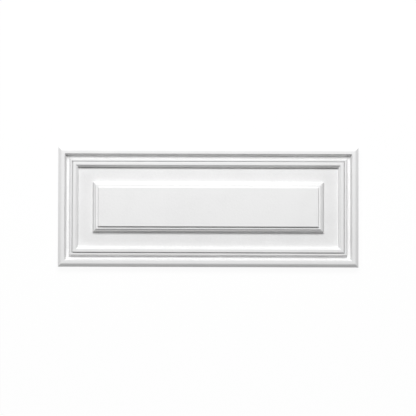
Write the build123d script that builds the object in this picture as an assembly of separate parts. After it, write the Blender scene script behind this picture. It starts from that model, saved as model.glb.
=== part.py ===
from build123d import *
import os

# Raised and fielded wall panel, moulded in one piece from dense polyurethane foam.
# It lies on its flat back: X runs along its length, Y up the wall, Z out of the wall.
# The origin is the middle of the back. All sizes are in millimetres.

# Outline on the wall
panel_length = 550.0
panel_height = 219.0

# Widths of the members of the border, from its outer edge inwards
roll_width = 5.8
crest_width = 6.0
ogee_width = 3.1
hollow_width = 4.8
step_rise_width = 2.3
step_width = 2.9
quirk_width = 0.9
bead_rise_width = 0.9
bead_width = 5.5
bead_fall_width = 2.0
ledge_width = 1.3
fall_width = 0.9

# Sunk field between the border and the raised centre
field_margin = 26.1

# Widths of the members round the raised centre, from its foot inwards
torus_width = 3.5
cavetto_width = 1.8
shelf_rise_width = 1.6
shelf_width = 3.8
lip_width = 0.9

# Levels above the back at which the members meet
edge_level = 13.1
crest_level = 17.0
hollow_level = 7.2
hollow_foot_level = 6.9
step_level = 13.5
quirk_level = 8.4
bead_level = 15.1
ledge_level = 12.8
fall_level = 11.6
field_level = 6.5
torus_level = 14.0
cavetto_level = 14.4
shelf_level = 16.9
centre_level = 20.5

# Roundings of the corners between the members
roll_rounding = 5.5
hollow_rounding = 0.7
step_rounding = 1.1
bead_rounding = 1.5
torus_rounding = 1.6
cavetto_rounding = 1.3
lip_rounding = 0.8
arris_rounding = 0.5
crease_rounding = 0.2

# Flat band of the raised centre's face that belongs to the moulded section
face_band = 4.0


def section_corners():
    """Corners of the section: distance from the outer edge, level and rounding."""
    members = (
        (0.0, edge_level, arris_rounding),
        (roll_width, crest_level, roll_rounding),
        (crest_width, crest_level, arris_rounding),
        (ogee_width, hollow_level, hollow_rounding),
        (hollow_width, hollow_foot_level, crease_rounding),
        (step_rise_width, step_level, step_rounding),
        (step_width, step_level, crease_rounding),
        (quirk_width, quirk_level, crease_rounding),
        (bead_rise_width, bead_level, bead_rounding),
        (bead_width, bead_level, crease_rounding),
        (bead_fall_width, ledge_level, arris_rounding),
        (ledge_width, fall_level, crease_rounding),
        (fall_width, field_level, arris_rounding),
        (field_margin, field_level, arris_rounding),
        (torus_width, torus_level, torus_rounding),
        (cavetto_width, cavetto_level, cavetto_rounding),
        (shelf_rise_width, shelf_level, arris_rounding),
        (shelf_width, shelf_level, cavetto_rounding),
        (lip_width, centre_level, lip_rounding),
    )
    corners = []
    distance = 0.0
    for width, level, rounding in members:
        distance += width
        corners.append((distance, level, rounding))
    return corners


def moulded_section():
    """Closed section from the outer edge to the raised centre's face: x inwards, y up."""
    corners = section_corners()
    inner_edge = corners[-1][0] + face_band
    points = [(distance, level) for distance, level, _ in corners]
    with BuildSketch() as sketch:
        with BuildLine():
            FilletPolyline(
                (0, 0),
                *points,
                (inner_edge, centre_level),
                radius=[rounding for _, _, rounding in corners],
            )
            Polyline((inner_edge, centre_level), (inner_edge, 0), (0, 0))
        make_face()
    return sketch.sketch


def mitred_ring(section, ring_length, ring_height):
    """Four lengths of a section, drawn inwards and upwards, mitred round a rectangle."""
    section_box = section.bounding_box()
    section_width = section_box.max.X
    sides = (
        (ring_length, ring_height / 2, (0, 180)),
        (ring_height, ring_length / 2, (90, 270)),
    )
    lengths = []
    for side, offset, turns in sides:
        start = Plane(origin=(-side / 2, -offset, 0), x_dir=(0, 1, 0), z_dir=(1, 0, 0))
        run = extrude(start * section, side)
        mitre_plan = Polygon(
            (-side / 2, -offset),
            (side / 2, -offset),
            (side / 2 - section_width, section_width - offset),
            (section_width - side / 2, section_width - offset),
            align=None,
        )
        mitre = extrude(mitre_plan, section_box.max.Y)
        lengths += [Rot(0, 0, turn) * (run & mitre) for turn in turns]
    return lengths[0] + lengths[1:]


def wall_panel():
    """The whole casting: mitred moulding and the middle of the raised centre, as one solid."""
    section = moulded_section()
    section_width = section.bounding_box().max.X
    centre = Box(
        panel_length - 2 * section_width,
        panel_height - 2 * section_width,
        centre_level,
        align=(Align.CENTER, Align.CENTER, Align.MIN),
    )
    return mitred_ring(section, panel_length, panel_height) + centre


os.makedirs("parts", exist_ok=True)
panel = wall_panel()
export_step(panel, "parts/wall_panel.step")
print("solids", len(panel.solids()), "volume", round(panel.volume), "valid", panel.is_valid)
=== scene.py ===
import bpy
import math
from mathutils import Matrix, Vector


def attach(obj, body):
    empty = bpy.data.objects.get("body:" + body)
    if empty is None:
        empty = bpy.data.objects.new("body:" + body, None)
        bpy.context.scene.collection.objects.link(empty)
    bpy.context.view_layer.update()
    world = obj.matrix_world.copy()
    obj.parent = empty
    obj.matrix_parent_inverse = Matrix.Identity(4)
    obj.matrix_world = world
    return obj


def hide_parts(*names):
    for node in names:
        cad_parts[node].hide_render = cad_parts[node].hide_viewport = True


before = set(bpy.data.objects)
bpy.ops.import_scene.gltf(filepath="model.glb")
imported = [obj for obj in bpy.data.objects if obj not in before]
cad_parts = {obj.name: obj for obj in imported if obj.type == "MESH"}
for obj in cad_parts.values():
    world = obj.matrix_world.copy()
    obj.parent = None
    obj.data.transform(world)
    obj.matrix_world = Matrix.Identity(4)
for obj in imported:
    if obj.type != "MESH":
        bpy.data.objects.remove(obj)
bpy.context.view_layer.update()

# Wall panel cast in one piece from dense polyurethane foam and sprayed with white primer.
# X runs along its length, Y up the wall, Z out of the wall, and it lies on its flat back.

MM = 0.001

# Outline on the wall, in millimetres
panel_length = 550.0
panel_height = 219.0

# Widths of the members of the border, from its outer edge inwards
roll_width = 5.8
crest_width = 6.0
ogee_width = 3.1
hollow_width = 4.8
step_rise_width = 2.3
step_width = 2.9
quirk_width = 0.9
bead_rise_width = 0.9
bead_width = 5.5
bead_fall_width = 2.0
ledge_width = 1.3
fall_width = 0.9

# Sunk field between the border and the raised centre
field_margin = 26.1

# Widths of the members round the raised centre, from its foot inwards
torus_width = 3.5
cavetto_width = 1.8
shelf_rise_width = 1.6
shelf_width = 3.8
lip_width = 0.9

# Levels above the back at which the members meet
edge_level = 13.1
crest_level = 17.0
hollow_level = 7.2
hollow_foot_level = 6.9
step_level = 13.5
quirk_level = 8.4
bead_level = 15.1
ledge_level = 12.8
fall_level = 11.6
field_level = 6.5
torus_level = 14.0
cavetto_level = 14.4
shelf_level = 16.9
centre_level = 20.5

# Roundings of the corners between the members
roll_rounding = 5.5
hollow_rounding = 0.7
step_rounding = 1.1
bead_rounding = 1.5
torus_rounding = 1.6
cavetto_rounding = 1.3
lip_rounding = 0.8
arris_rounding = 0.5
crease_rounding = 0.2

# Flat band of the raised centre's face that is drawn with the section
face_band = 4.0

# Each member of the section: its width, the level it reaches and the rounding of that corner
moulding_members = (
    (0.0, 0.0, 0.0),
    (0.0, edge_level, arris_rounding),
    (roll_width, crest_level, roll_rounding),
    (crest_width, crest_level, arris_rounding),
    (ogee_width, hollow_level, hollow_rounding),
    (hollow_width, hollow_foot_level, crease_rounding),
    (step_rise_width, step_level, step_rounding),
    (step_width, step_level, crease_rounding),
    (quirk_width, quirk_level, crease_rounding),
    (bead_rise_width, bead_level, bead_rounding),
    (bead_width, bead_level, crease_rounding),
    (bead_fall_width, ledge_level, arris_rounding),
    (ledge_width, fall_level, crease_rounding),
    (fall_width, field_level, arris_rounding),
    (field_margin, field_level, arris_rounding),
    (torus_width, torus_level, torus_rounding),
    (cavetto_width, cavetto_level, cavetto_rounding),
    (shelf_rise_width, shelf_level, arris_rounding),
    (shelf_width, shelf_level, cavetto_rounding),
    (lip_width, centre_level, lip_rounding),
    (face_band, centre_level, 0.0),
)
section_width = sum(width for width, _, _ in moulding_members)

# Casting: straight pieces in each rounding, and the length under which points become one
rounding_pieces = 10
weld_length = 0.002 * MM
# An edge that slants in plan by more than this is a mitre
slant_length = 0.001 * MM
# A straight member's faces are numbered past this fraction of a corner, a rounding's below it
between_corners = 0.25
# The back's normal points further down than this
turned_down = -0.5

# Noise textures: octaves of a fine and of a soft one, how strongly the finest octaves show,
# and the part of its range that a noise mostly keeps to
fine_detail = 3.0
soft_detail = 2.0
grain_roughness = 0.6
noise_low = 0.3
noise_high = 0.7

# Sprayed primer. The gun's droplets are about 0.5 mm: the stipple is drawn eight times as
# coarse, and its height enlarged with it, so that it shows.
stipple_spacing = 4 * MM
stipple_height = 0.3 * MM
stipple_strength = 0.6
spray_pass_width = 45 * MM
stipple_in_cloud = 0.45
cloud_beside_painted_shade = 0.9
# The raised face is drawn lighter and the sunk field and hollows greyer, by level: painted light
# and painted shade, mixed with the random clouding
painted_light_on_face = 0.5
primer_cloud_and_painted_shade_colour = "#E3E3E3"
primer_cloud_and_painted_light_colour = "#F4F4F4"
primer_roughness = (0.68, 0.82)
primer_ior = 1.46

# Sanded back. Belt scratches of about 0.2 mm and foam cells of about 0.3 mm are drawn six
# and seven times as coarse so that they show; a scratch runs ninety times its width.
scratch_spacing = 1.2 * MM
scratch_stretch = 90
cell_spacing = 2.2 * MM
cell_height = 0.1 * MM
cell_strength = 0.5
cell_rim = (0.08, 0.2)
foam_hollow_colour = "#D9CFB4"
foam_ridge_colour = "#EDE6D2"
foam_roughness = 0.85
foam_ior = 1.5

# Studio, in metres: the paper floor, how far it lies below the back and how far it laps under it
floor_reach = 6.0
floor_gap = 0.05 * MM
floor_lap = 0.3 * MM
# Where the floor is seen, most of it glows white and the rest takes the panel's shadow
paper_colour = "#E6E6E6"
paper_glow = 1.02
glow_share = 0.93
# Strength of the even light from all round
air_light = 0.03

# Softboxes, in metres and watts: the key above the panel as it hangs, the other behind its back
softbox_distance = 2.4
softbox_width = 2.2
softbox_height = 1.0
key_direction = (-0.05, 0.69, 1.0)
key_power = 70
back_direction = (0.0, 0.0, -1.0)
back_power = 50

# Camera, in metres and degrees: the width that it frames at the level of the back, the middle
# of that view, how far below square on it stands and how far it leans
camera_distance = 2.8
camera_reach = 50.0
sensor_width = 36.0
view_width = 0.7654
view_centre_across = -0.0003
view_centre_up = -0.0010
camera_below = 1.7
camera_roll = 0.17


def linear(hex_colour):
    """An sRGB hex colour as the linear RGBA that a shader socket holds."""
    channels = [int(hex_colour[i:i + 2], 16) / 255 for i in (1, 3, 5)]
    return [c / 12.92 if c <= 0.04045 else ((c + 0.055) / 1.055) ** 2.4 for c in channels] + [1.0]


def add_node(tree, kind, settings=None, values=None, links=None):
    """A node with its settings, its socket values and the links into it."""
    node = tree.nodes.new(kind)
    for name, value in (settings or {}).items():
        setattr(node, name, value)
    for socket, value in (values or {}).items():
        node.inputs[socket].default_value = value
    for socket, source in (links or {}).items():
        tree.links.new(source, node.inputs[socket])
    return node


def new_material(name):
    """An empty node material with its tree."""
    material = bpy.data.materials.new(name)
    material.use_nodes = True
    material.node_tree.nodes.clear()
    return material, material.node_tree


def sprayed_primer():
    """Dense polyurethane cast against a polished mould and sprayed with white acrylic primer: a
    satin-matt white skin with the fine stipple of the spray, a faint clouding, and painted shade
    that greys it the lower it lies."""
    material, tree = new_material("sprayed_primer_on_cast_polyurethane")
    place = add_node(tree, "ShaderNodeTexCoord").outputs["Object"]
    # droplets that dried on the skin
    stipple = add_node(
        tree, "ShaderNodeTexNoise",
        values={
            "Scale": 1 / stipple_spacing,
            "Detail": fine_detail,
            "Roughness": grain_roughness,
        },
        links={"Vector": place},
    )
    # thicker and thinner passes of the spray gun
    passes = add_node(
        tree, "ShaderNodeTexNoise",
        values={"Scale": 1 / spray_pass_width, "Detail": soft_detail},
        links={"Vector": place},
    )
    cloud = add_node(
        tree, "ShaderNodeMix", {"data_type": "FLOAT"},
        {"Factor": stipple_in_cloud},
        {"A": passes.outputs["Fac"], "B": stipple.outputs["Fac"]},
    )
    # painted shade and painted light: the primer is drawn greyer the lower it lies, in the sunk
    # field and hollows, and lighter on the raised face, on top of the random clouding
    level = add_node(tree, "ShaderNodeSeparateXYZ", links={"Vector": place}).outputs["Z"]
    painted_shade_by_level = add_node(
        tree, "ShaderNodeMapRange",
        values={
            "From Min": field_level * MM,
            "From Max": centre_level * MM,
            "To Max": painted_light_on_face,
        },
        links={"Value": level},
    )
    cloud_and_painted_shade = add_node(
        tree, "ShaderNodeMath", {"operation": "MULTIPLY_ADD"}, {1: cloud_beside_painted_shade},
        {0: cloud.outputs["Result"], 2: painted_shade_by_level.outputs["Result"]},
    )
    tint = add_node(
        tree, "ShaderNodeMix", {"data_type": "RGBA"},
        {"A": linear(primer_cloud_and_painted_shade_colour), "B": linear(primer_cloud_and_painted_light_colour)},
        {"Factor": cloud_and_painted_shade.outputs["Value"]},
    )
    smooth, rough = primer_roughness
    roughness = add_node(
        tree, "ShaderNodeMapRange",
        values={
            "From Min": noise_low,
            "From Max": noise_high,
            "To Min": smooth,
            "To Max": rough,
        },
        links={"Value": stipple.outputs["Fac"]},
    )
    relief = add_node(
        tree, "ShaderNodeBump",
        values={"Strength": stipple_strength, "Distance": stipple_height},
        links={"Height": stipple.outputs["Fac"]},
    )
    skin = add_node(
        tree, "ShaderNodeBsdfPrincipled",
        values={"IOR": primer_ior},
        links={
            "Base Color": tint.outputs["Result"],
            "Roughness": roughness.outputs["Result"],
            "Normal": relief.outputs["Normal"],
        },
    )
    add_node(tree, "ShaderNodeOutputMaterial", links={"Surface": skin.outputs["BSDF"]})
    return material


def sanded_foam():
    """Back of the casting, ground flat on a belt sander: bare cream foam with long fine
    scratches along the panel and small open cells."""
    material, tree = new_material("belt_sanded_polyurethane_foam")
    place = add_node(tree, "ShaderNodeTexCoord").outputs["Object"]
    along = add_node(
        tree, "ShaderNodeMapping",
        values={"Scale": (1 / scratch_stretch, 1.0, 1.0)},
        links={"Vector": place},
    )
    scratches = add_node(
        tree, "ShaderNodeTexNoise",
        values={"Scale": 1 / scratch_spacing, "Detail": fine_detail},
        links={"Vector": along.outputs["Vector"]},
    )
    cells = add_node(
        tree, "ShaderNodeTexVoronoi",
        values={"Scale": 1 / cell_spacing},
        links={"Vector": place},
    )
    pit, rim = cell_rim
    pits = add_node(
        tree, "ShaderNodeMapRange",
        values={"From Min": pit, "From Max": rim},
        links={"Value": cells.outputs["Distance"]},
    )
    tint = add_node(
        tree, "ShaderNodeMix", {"data_type": "RGBA"},
        {"A": linear(foam_hollow_colour), "B": linear(foam_ridge_colour)},
        {"Factor": scratches.outputs["Fac"]},
    )
    relief = add_node(
        tree, "ShaderNodeBump",
        values={"Strength": cell_strength, "Distance": cell_height},
        links={"Height": pits.outputs["Result"]},
    )
    skin = add_node(
        tree, "ShaderNodeBsdfPrincipled",
        values={"IOR": foam_ior, "Roughness": foam_roughness},
        links={"Base Color": tint.outputs["Result"], "Normal": relief.outputs["Normal"]},
    )
    add_node(tree, "ShaderNodeOutputMaterial", links={"Surface": skin.outputs["BSDF"]})
    return material


def section_line():
    """The moulding's section as an open line of corners, numbered, each with its rounding."""
    corners = []
    distance = 0.0
    for width, level, _ in moulding_members:
        distance += width
        corners.append((distance * MM, level * MM, 0.0))
    line = bpy.data.meshes.new("moulding_section")
    line.from_pydata(corners, [(i, i + 1) for i in range(len(corners) - 1)], [])
    rounding = line.attributes.new("rounding", "FLOAT", "POINT")
    rounding.data.foreach_set("value", [member[2] * MM for member in moulding_members])
    number = line.attributes.new("corner", "FLOAT", "POINT")
    number.data.foreach_set("value", [float(i) for i in range(len(corners))])
    return line


def casting_tree(front, back):
    """Geometry nodes that run the section round the panel's rectangle, mitred at its corners,
    and close it with the raised centre's face and the flat back."""
    tree = bpy.data.node_groups.new("mitred_casting", "GeometryNodeTree")
    tree.interface.new_socket("Section", in_out="INPUT", socket_type="NodeSocketGeometry")
    for name in ("Length", "Height", "Section width", "Face level"):
        tree.interface.new_socket(name, in_out="INPUT", socket_type="NodeSocketFloat")
    tree.interface.new_socket("Casting", in_out="OUTPUT", socket_type="NodeSocketGeometry")
    given = add_node(tree, "NodeGroupInput").outputs

    # the section with its corners rounded, then stretched to lie along the mitres
    curve = add_node(tree, "GeometryNodeMeshToCurve", links={"Mesh": given["Section"]})
    rounding = add_node(
        tree, "GeometryNodeInputNamedAttribute", {"data_type": "FLOAT"}, {"Name": "rounding"}
    )
    rounded = add_node(
        tree, "GeometryNodeFilletCurve", {"mode": "POLY"},
        {"Count": rounding_pieces, "Limit Radius": True},
        {"Curve": curve.outputs["Curve"], "Radius": rounding.outputs["Attribute"]},
    )
    mitred = add_node(
        tree, "GeometryNodeTransform",
        values={"Scale": (-math.sqrt(2), -1.0, 1.0)},
        links={"Geometry": rounded.outputs["Curve"]},
    )

    # the four mitred lengths
    outline = add_node(
        tree, "GeometryNodeCurvePrimitiveQuadrilateral",
        links={"Width": given["Length"], "Height": given["Height"]},
    )
    level_outline = add_node(
        tree, "GeometryNodeSetCurveNormal", {"mode": "Z_UP"},
        links={"Curve": outline.outputs["Curve"]},
    )
    lengths = add_node(
        tree, "GeometryNodeCurveToMesh",
        links={
            "Curve": level_outline.outputs["Curve"],
            "Profile Curve": mitred.outputs["Geometry"],
        },
    )
    outward = add_node(tree, "GeometryNodeFlipFaces", links={"Mesh": lengths.outputs["Mesh"]})

    # a face of a rounding has its corner's whole number, and one of a straight member lies
    # halfway between two: the straight ones are flat, the roundings smooth, the mitres crisp
    number = add_node(
        tree, "GeometryNodeInputNamedAttribute", {"data_type": "FLOAT"}, {"Name": "corner"}
    )
    between = add_node(
        tree, "ShaderNodeMath", {"operation": "FRACT"}, links={0: number.outputs["Attribute"]}
    )
    is_rounding = add_node(
        tree, "FunctionNodeCompare", {"operation": "LESS_THAN"},
        {"B": between_corners}, {"A": between.outputs["Value"]},
    )
    faces_shaded = add_node(
        tree, "GeometryNodeSetShadeSmooth", {"domain": "FACE"},
        links={
            "Geometry": outward.outputs["Mesh"],
            "Shade Smooth": is_rounding.outputs["Result"],
        },
    )
    edge_ends = add_node(tree, "GeometryNodeInputMeshEdgeVertices").outputs
    run = add_node(
        tree, "ShaderNodeVectorMath", {"operation": "SUBTRACT"},
        links={0: edge_ends["Position 1"], 1: edge_ends["Position 2"]},
    )
    run_part = add_node(
        tree, "ShaderNodeSeparateXYZ", links={"Vector": run.outputs["Vector"]}
    ).outputs
    slant = add_node(
        tree, "ShaderNodeMath", {"operation": "MULTIPLY"},
        links={0: run_part["X"], 1: run_part["Y"]},
    )
    slant_size = add_node(
        tree, "ShaderNodeMath", {"operation": "ABSOLUTE"}, links={0: slant.outputs["Value"]}
    )
    is_mitre = add_node(
        tree, "FunctionNodeCompare", {"operation": "GREATER_THAN"},
        {"B": slant_length ** 2}, {"A": slant_size.outputs["Value"]},
    )
    mitres_shaded = add_node(
        tree, "GeometryNodeSetShadeSmooth", {"domain": "EDGE"}, {"Shade Smooth": False},
        {"Geometry": faces_shaded.outputs["Geometry"], "Selection": is_mitre.outputs["Result"]},
    )

    # the middle of the raised centre's face
    face_sizes = {}
    for size in ("Length", "Height"):
        face_sizes[size] = add_node(
            tree, "ShaderNodeMath", {"operation": "MULTIPLY_ADD"},
            {1: -2.0}, {0: given["Section width"], 2: given[size]},
        ).outputs["Value"]
    face_outline = add_node(
        tree, "GeometryNodeCurvePrimitiveQuadrilateral",
        links={"Width": face_sizes["Length"], "Height": face_sizes["Height"]},
    )
    face = add_node(
        tree, "GeometryNodeFillCurve", {"mode": "NGONS"},
        links={"Curve": face_outline.outputs["Curve"]},
    )
    face_rise = add_node(tree, "ShaderNodeCombineXYZ", links={"Z": given["Face level"]})
    raised_face = add_node(
        tree, "GeometryNodeTransform",
        links={"Geometry": face.outputs["Mesh"], "Translation": face_rise.outputs["Vector"]},
    )

    # the flat back
    back_face = add_node(
        tree, "GeometryNodeFillCurve", {"mode": "NGONS"},
        links={"Curve": outline.outputs["Curve"]},
    )
    turned_back = add_node(
        tree, "GeometryNodeFlipFaces", links={"Mesh": back_face.outputs["Mesh"]}
    )

    joined = add_node(
        tree, "GeometryNodeJoinGeometry", links={"Geometry": mitres_shaded.outputs["Geometry"]}
    )
    for flat in (raised_face.outputs["Geometry"], turned_back.outputs["Mesh"]):
        unshaded = add_node(
            tree, "GeometryNodeSetShadeSmooth", {"domain": "FACE"}, {"Shade Smooth": False},
            {"Geometry": flat},
        )
        tree.links.new(unshaded.outputs["Geometry"], joined.inputs["Geometry"])
    closed = add_node(
        tree, "GeometryNodeMergeByDistance", values={"Distance": weld_length},
        links={"Geometry": joined.outputs["Geometry"]},
    )
    made = add_node(
        tree, "GeometryNodeRealizeInstances", links={"Geometry": closed.outputs["Geometry"]}
    )
    primed = add_node(
        tree, "GeometryNodeSetMaterial", values={"Material": front},
        links={"Geometry": made.outputs["Geometry"]},
    )
    # the back is the one face that looks down at the wall
    facing = add_node(tree, "GeometryNodeInputNormal")
    facing_part = add_node(
        tree, "ShaderNodeSeparateXYZ", links={"Vector": facing.outputs["Normal"]}
    ).outputs
    is_back = add_node(
        tree, "FunctionNodeCompare", {"operation": "LESS_THAN"},
        {"B": turned_down}, {"A": facing_part["Z"]},
    )
    finished = add_node(
        tree, "GeometryNodeSetMaterial", values={"Material": back},
        links={"Geometry": primed.outputs["Geometry"], "Selection": is_back.outputs["Result"]},
    )
    add_node(tree, "NodeGroupOutput", links={"Casting": finished.outputs["Geometry"]})
    return tree


def cast_panel():
    """The whole panel as one closed plain mesh at the origin."""
    casting = bpy.data.objects.new("moulded_wall_panel", section_line())
    bpy.context.scene.collection.objects.link(casting)
    modifier = casting.modifiers.new("Mitred casting", "NODES")
    modifier.node_group = casting_tree(sprayed_primer(), sanded_foam())
    sizes = {
        "Length": panel_length * MM,
        "Height": panel_height * MM,
        "Section width": section_width * MM,
        "Face level": centre_level * MM,
    }
    for socket in modifier.node_group.interface.items_tree:
        if socket.name in sizes:
            modifier[socket.identifier] = sizes[socket.name]
    evaluated = casting.evaluated_get(bpy.context.evaluated_depsgraph_get())
    plain = bpy.data.meshes.new_from_object(evaluated)
    plain.name = casting.name
    casting.modifiers.remove(modifier)
    casting.data = plain
    return casting


def seen_ray(tree):
    """A socket that is 1 for rays of the camera, gloss and transmission, and 0 for others."""
    ray = add_node(tree, "ShaderNodeLightPath").outputs
    shiny = add_node(
        tree, "ShaderNodeMath", {"operation": "MAXIMUM"},
        links={0: ray["Is Glossy Ray"], 1: ray["Is Transmission Ray"]},
    )
    return add_node(
        tree, "ShaderNodeMath", {"operation": "MAXIMUM"},
        links={0: ray["Is Camera Ray"], 1: shiny.outputs["Value"]},
    ).outputs["Value"]


def studio_floor():
    """White paper just under the panel and cut out beneath it, so that the lamp below reaches
    the bare back. The camera sees it white, with a faint shadow of the panel, and seen from
    underneath it is clear."""
    corners = [
        (across * x, up * y, -floor_gap)
        for x, y in (
            (floor_reach, floor_reach),
            (panel_length / 2 * MM - floor_lap, panel_height / 2 * MM - floor_lap),
        )
        for across, up in ((-1, -1), (1, -1), (1, 1), (-1, 1))
    ]
    strips = [(i, (i + 1) % 4, 4 + (i + 1) % 4, 4 + i) for i in range(4)]
    sheet = bpy.data.meshes.new("studio_floor")
    sheet.from_pydata(corners, [], strips)
    floor = bpy.data.objects.new("studio_floor", sheet)
    bpy.context.scene.collection.objects.link(floor)
    material, tree = new_material("white_paper")
    paper = add_node(tree, "ShaderNodeBsdfDiffuse", values={"Color": linear(paper_colour)})
    glow = add_node(tree, "ShaderNodeEmission", values={"Strength": paper_glow})
    shaded_white = add_node(
        tree, "ShaderNodeMixShader", values={"Fac": glow_share},
        links={1: paper.outputs["BSDF"], 2: glow.outputs["Emission"]},
    )
    top_side = add_node(
        tree, "ShaderNodeMixShader",
        links={
            "Fac": seen_ray(tree),
            1: paper.outputs["BSDF"],
            2: shaded_white.outputs["Shader"],
        },
    )
    clear = add_node(tree, "ShaderNodeBsdfTransparent")
    side = add_node(tree, "ShaderNodeNewGeometry")
    both_sides = add_node(
        tree, "ShaderNodeMixShader",
        links={
            "Fac": side.outputs["Backfacing"],
            1: top_side.outputs["Shader"],
            2: clear.outputs["BSDF"],
        },
    )
    add_node(tree, "ShaderNodeOutputMaterial", links={"Surface": both_sides.outputs["Shader"]})
    # the glow lights nothing, so it is not sampled as a lamp
    material.cycles.emission_sampling = "NONE"
    sheet.materials.append(material)


def studio_air():
    """White where it is seen, and a low even light to everything else."""
    world = bpy.data.worlds.new("studio_air")
    bpy.context.scene.world = world
    world.use_nodes = True
    tree = world.node_tree
    tree.nodes.clear()
    white = linear("#FFFFFF")
    low_light = add_node(
        tree, "ShaderNodeBackground", values={"Color": white, "Strength": air_light}
    )
    white_wall = add_node(tree, "ShaderNodeBackground", values={"Color": white, "Strength": 1.0})
    air = add_node(
        tree, "ShaderNodeMixShader",
        links={
            "Fac": seen_ray(tree),
            1: low_light.outputs["Background"],
            2: white_wall.outputs["Background"],
        },
    )
    add_node(tree, "ShaderNodeOutputWorld", links={"Surface": air.outputs["Shader"]})


def softbox(name, from_direction, power):
    """A large soft lamp that faces the panel from the given direction."""
    lamp = bpy.data.lights.new(name, "AREA")
    lamp.shape = "RECTANGLE"
    lamp.size = softbox_width
    lamp.size_y = softbox_height
    lamp.energy = power
    box = bpy.data.objects.new(name, lamp)
    bpy.context.scene.collection.objects.link(box)
    direction = Vector(from_direction).normalized()
    box.location = direction * softbox_distance
    box.rotation_euler = (-direction).to_track_quat("-Z", "Y").to_euler()
    box.visible_camera = False


def wall_camera():
    """Long lens almost square on to the panel, the top of the wall up in the picture."""
    lens = bpy.data.cameras.new("wall_camera")
    camera = bpy.data.objects.new("wall_camera", lens)
    bpy.context.scene.collection.objects.link(camera)
    lens.sensor_width = sensor_width
    lens.lens = sensor_width * camera_distance / view_width
    lens.clip_end = camera_reach
    off_square = math.radians(camera_below)
    camera.location = (
        view_centre_across,
        view_centre_up - camera_distance * math.sin(off_square),
        camera_distance * math.cos(off_square),
    )
    camera.rotation_euler = (off_square, 0.0, math.radians(camera_roll))
    bpy.context.scene.camera = camera


panel = cast_panel()
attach(panel, "root")
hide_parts("wall_panel")

studio_floor()
studio_air()
softbox("key_softbox", key_direction, key_power)
softbox("back_softbox", back_direction, back_power)
wall_camera()
bpy.context.scene.view_settings.view_transform = "Standard"
